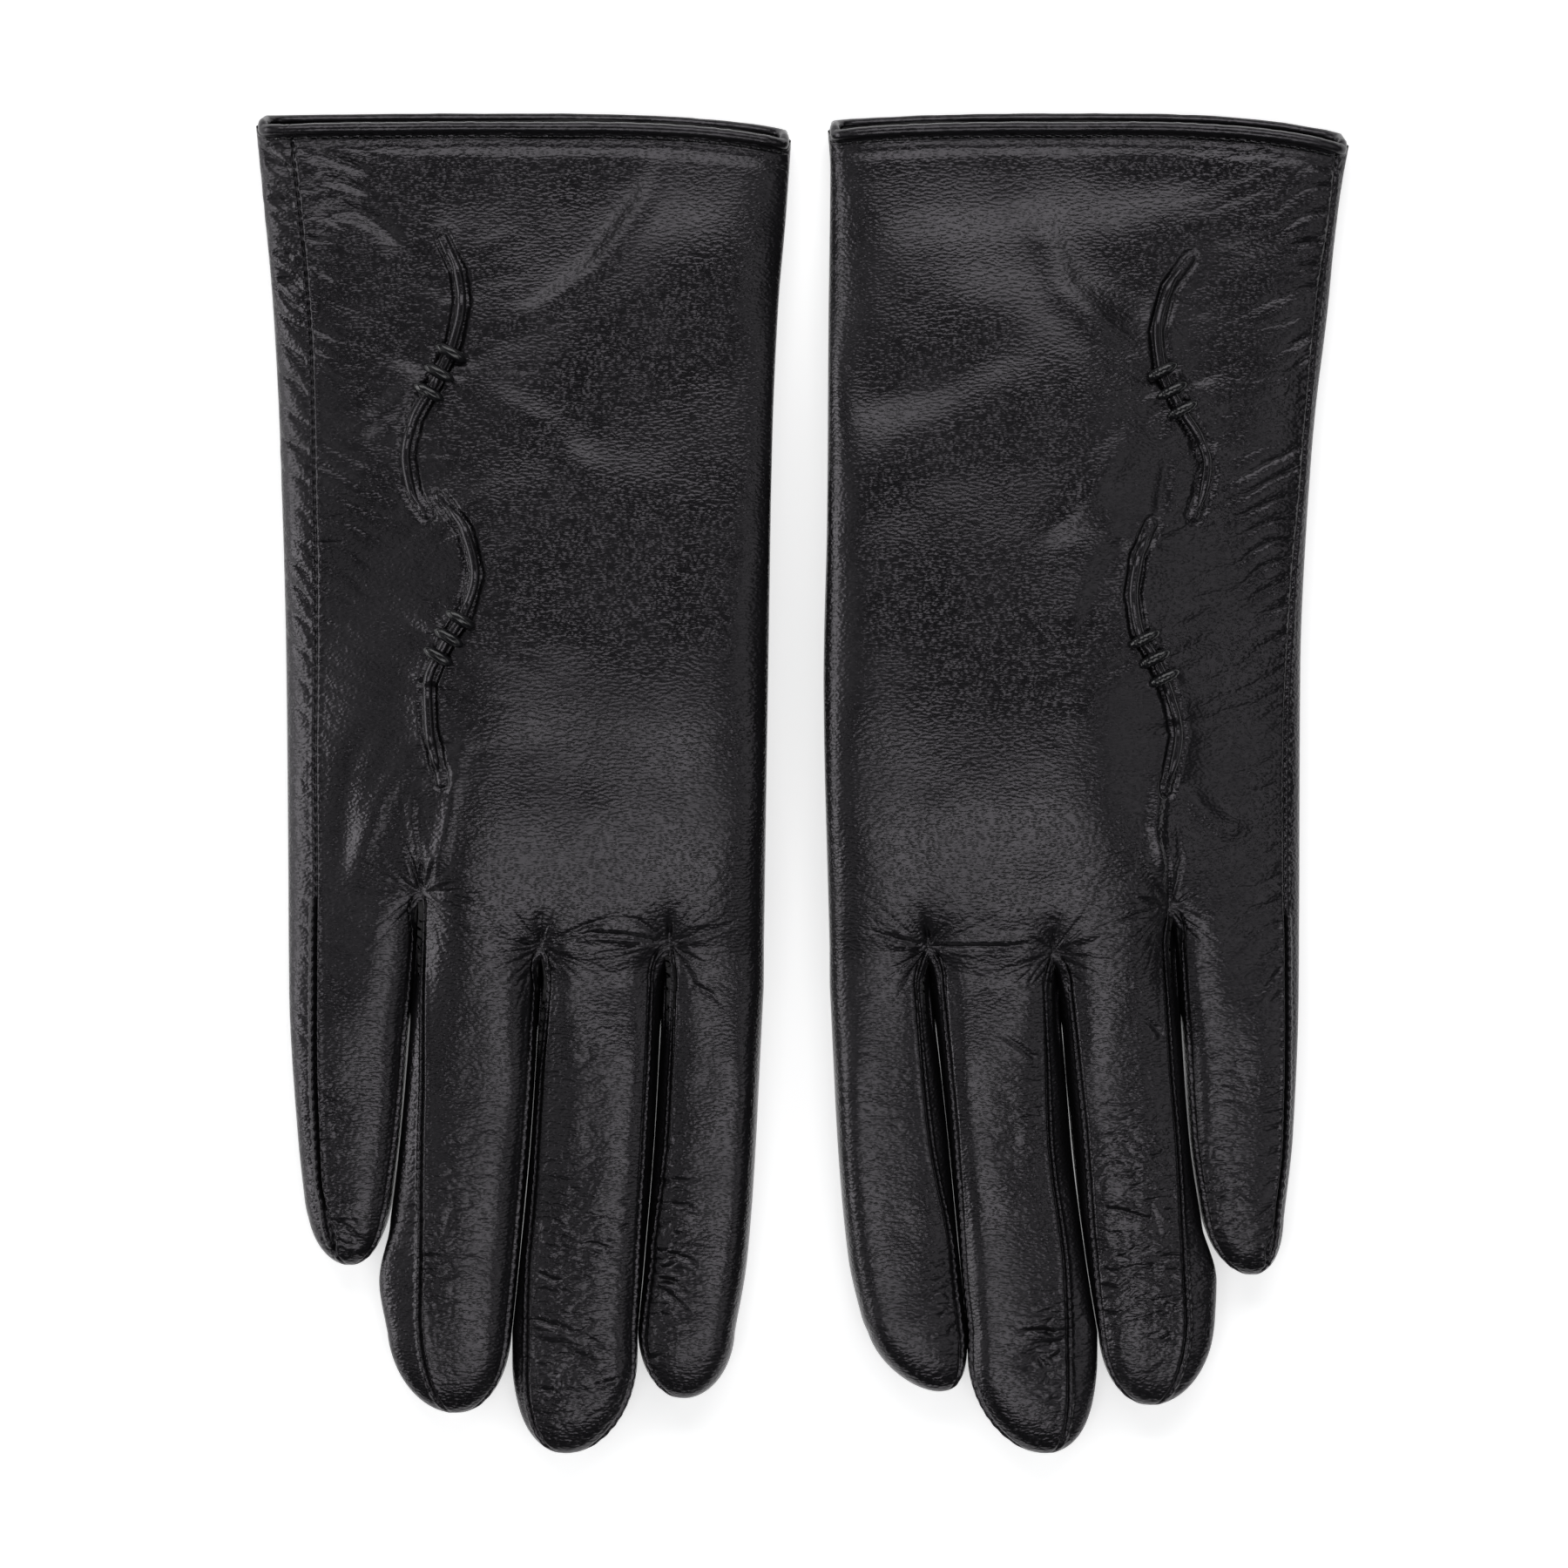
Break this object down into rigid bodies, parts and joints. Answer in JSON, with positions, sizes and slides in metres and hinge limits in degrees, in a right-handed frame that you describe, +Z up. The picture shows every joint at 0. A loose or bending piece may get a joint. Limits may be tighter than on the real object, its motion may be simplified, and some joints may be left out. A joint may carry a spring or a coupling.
{
  "type": "pair of leather gloves",
  "caption": "Pair of slim lined black leather dress gloves lying backs up, with wavy corded tucks on the back and thumbs folded under the palms.",
  "frame": {"origin": "on the table, midway between the two gloves and midway between cuff edges and middle fingertips", "axes": "+Z up from the table, +Y from the fingertips to the cuffs, +X towards the left-hand glove"},
  "size_m": [0.194, 0.2366, 0.0242],
  "materials": {
    "leather": "glossy fine-grained black nappa",
    "lining": "matt knitted black lining",
    "thread": "black sewing thread"
  },
  "bodies": {
    "right_hand": {"right_hand_leather": "leather", "right_hand_lining": "lining", "right_cuff_binding": "leather", "right_thumb_gusset": "leather", "right_upper_tuck_cord": "leather", "right_upper_tuck_wraps": "thread", "right_lower_tuck_cord": "leather", "right_lower_tuck_wraps": "thread", "right_index_knuckle": "leather", "right_middle_knuckle": "leather", "right_ring_knuckle": "leather", "right_little_knuckle": "leather"},
    "right_index": {"right_index_stall": "leather", "right_index_lining": "lining", "right_index_outer_fourchette": "leather"},
    "right_middle": {"right_middle_stall": "leather", "right_middle_lining": "lining", "right_middle_inner_fourchette": "leather", "right_middle_outer_fourchette": "leather"},
    "right_ring": {"right_ring_stall": "leather", "right_ring_lining": "lining", "right_ring_inner_fourchette": "leather", "right_ring_outer_fourchette": "leather"},
    "right_little": {"right_little_stall": "leather", "right_little_lining": "lining", "right_little_inner_fourchette": "leather"},
    "right_thumb": {"right_thumb_stall": "leather", "right_thumb_lining": "lining"},
    "left_hand": {"left_hand_leather": "leather", "left_hand_lining": "lining", "left_cuff_binding": "leather", "left_thumb_gusset": "leather", "left_upper_tuck_cord": "leather", "left_upper_tuck_wraps": "thread", "left_lower_tuck_cord": "leather", "left_lower_tuck_wraps": "thread", "left_index_knuckle": "leather", "left_middle_knuckle": "leather", "left_ring_knuckle": "leather", "left_little_knuckle": "leather"},
    "left_index": {"left_index_stall": "leather", "left_index_lining": "lining", "left_index_outer_fourchette": "leather"},
    "left_middle": {"left_middle_stall": "leather", "left_middle_lining": "lining", "left_middle_inner_fourchette": "leather", "left_middle_outer_fourchette": "leather"},
    "left_ring": {"left_ring_stall": "leather", "left_ring_lining": "lining", "left_ring_inner_fourchette": "leather", "left_ring_outer_fourchette": "leather"},
    "left_little": {"left_little_stall": "leather", "left_little_lining": "lining", "left_little_inner_fourchette": "leather"},
    "left_thumb": {"left_thumb_stall": "leather", "left_thumb_lining": "lining"}
  },
  "joints": [
    {"name": "right_index_bend", "type": "hinge", "parent": "right_hand", "child": "right_index", "pos_m": [-0.01474, -0.03666, 0.01077], "axis": [-0.9954, 0.0958, 0], "range_deg": [-75, 45], "deforming": ["right_index_knuckle"]},
    {"name": "right_middle_bend", "type": "hinge", "parent": "right_hand", "child": "right_middle", "pos_m": [-0.03414, -0.03666, 0.01077], "axis": [-0.9962, 0.0872, 0], "range_deg": [-75, 45], "deforming": ["right_middle_knuckle"]},
    {"name": "right_ring_bend", "type": "hinge", "parent": "right_hand", "child": "right_ring", "pos_m": [-0.05559, -0.03666, 0.01029], "axis": [-0.9978, 0.0663, 0], "range_deg": [-75, 45], "deforming": ["right_ring_knuckle"]},
    {"name": "right_little_bend", "type": "hinge", "parent": "right_hand", "child": "right_little", "pos_m": [-0.07749, -0.02766, 0.00688], "axis": [-0.9994, 0.0349, 0], "range_deg": [-75, 45], "deforming": ["right_little_knuckle"]},
    {"name": "right_thumb_open", "type": "hinge", "parent": "right_hand", "child": "right_thumb", "pos_m": [-0.0173, 0.05822, 0.0106], "axis": [0.9903, -0.1392, 0], "range_deg": [0, 60], "deforming": ["right_thumb_gusset"]},
    {"name": "left_glove_lift", "type": "slide", "parent": "right_hand", "child": "left_hand", "axis": [0, 0, 1], "range_m": [0, 0.2]},
    {"name": "left_index_bend", "type": "hinge", "parent": "left_hand", "child": "left_index", "pos_m": [0.01474, -0.03666, 0.01077], "axis": [-0.9954, -0.0958, 0], "range_deg": [-75, 45], "deforming": ["left_index_knuckle"]},
    {"name": "left_middle_bend", "type": "hinge", "parent": "left_hand", "child": "left_middle", "pos_m": [0.03414, -0.03666, 0.01077], "axis": [-0.9962, -0.0872, 0], "range_deg": [-75, 45], "deforming": ["left_middle_knuckle"]},
    {"name": "left_ring_bend", "type": "hinge", "parent": "left_hand", "child": "left_ring", "pos_m": [0.05559, -0.03666, 0.01029], "axis": [-0.9978, -0.0663, 0], "range_deg": [-75, 45], "deforming": ["left_ring_knuckle"]},
    {"name": "left_little_bend", "type": "hinge", "parent": "left_hand", "child": "left_little", "pos_m": [0.07749, -0.02766, 0.00688], "axis": [-0.9994, -0.0349, 0], "range_deg": [-75, 45], "deforming": ["left_little_knuckle"]},
    {"name": "left_thumb_open", "type": "hinge", "parent": "left_hand", "child": "left_thumb", "pos_m": [0.0173, 0.05822, 0.0106], "axis": [0.9903, 0.1392, 0], "range_deg": [0, 60], "deforming": ["left_thumb_gusset"]}
  ]
}
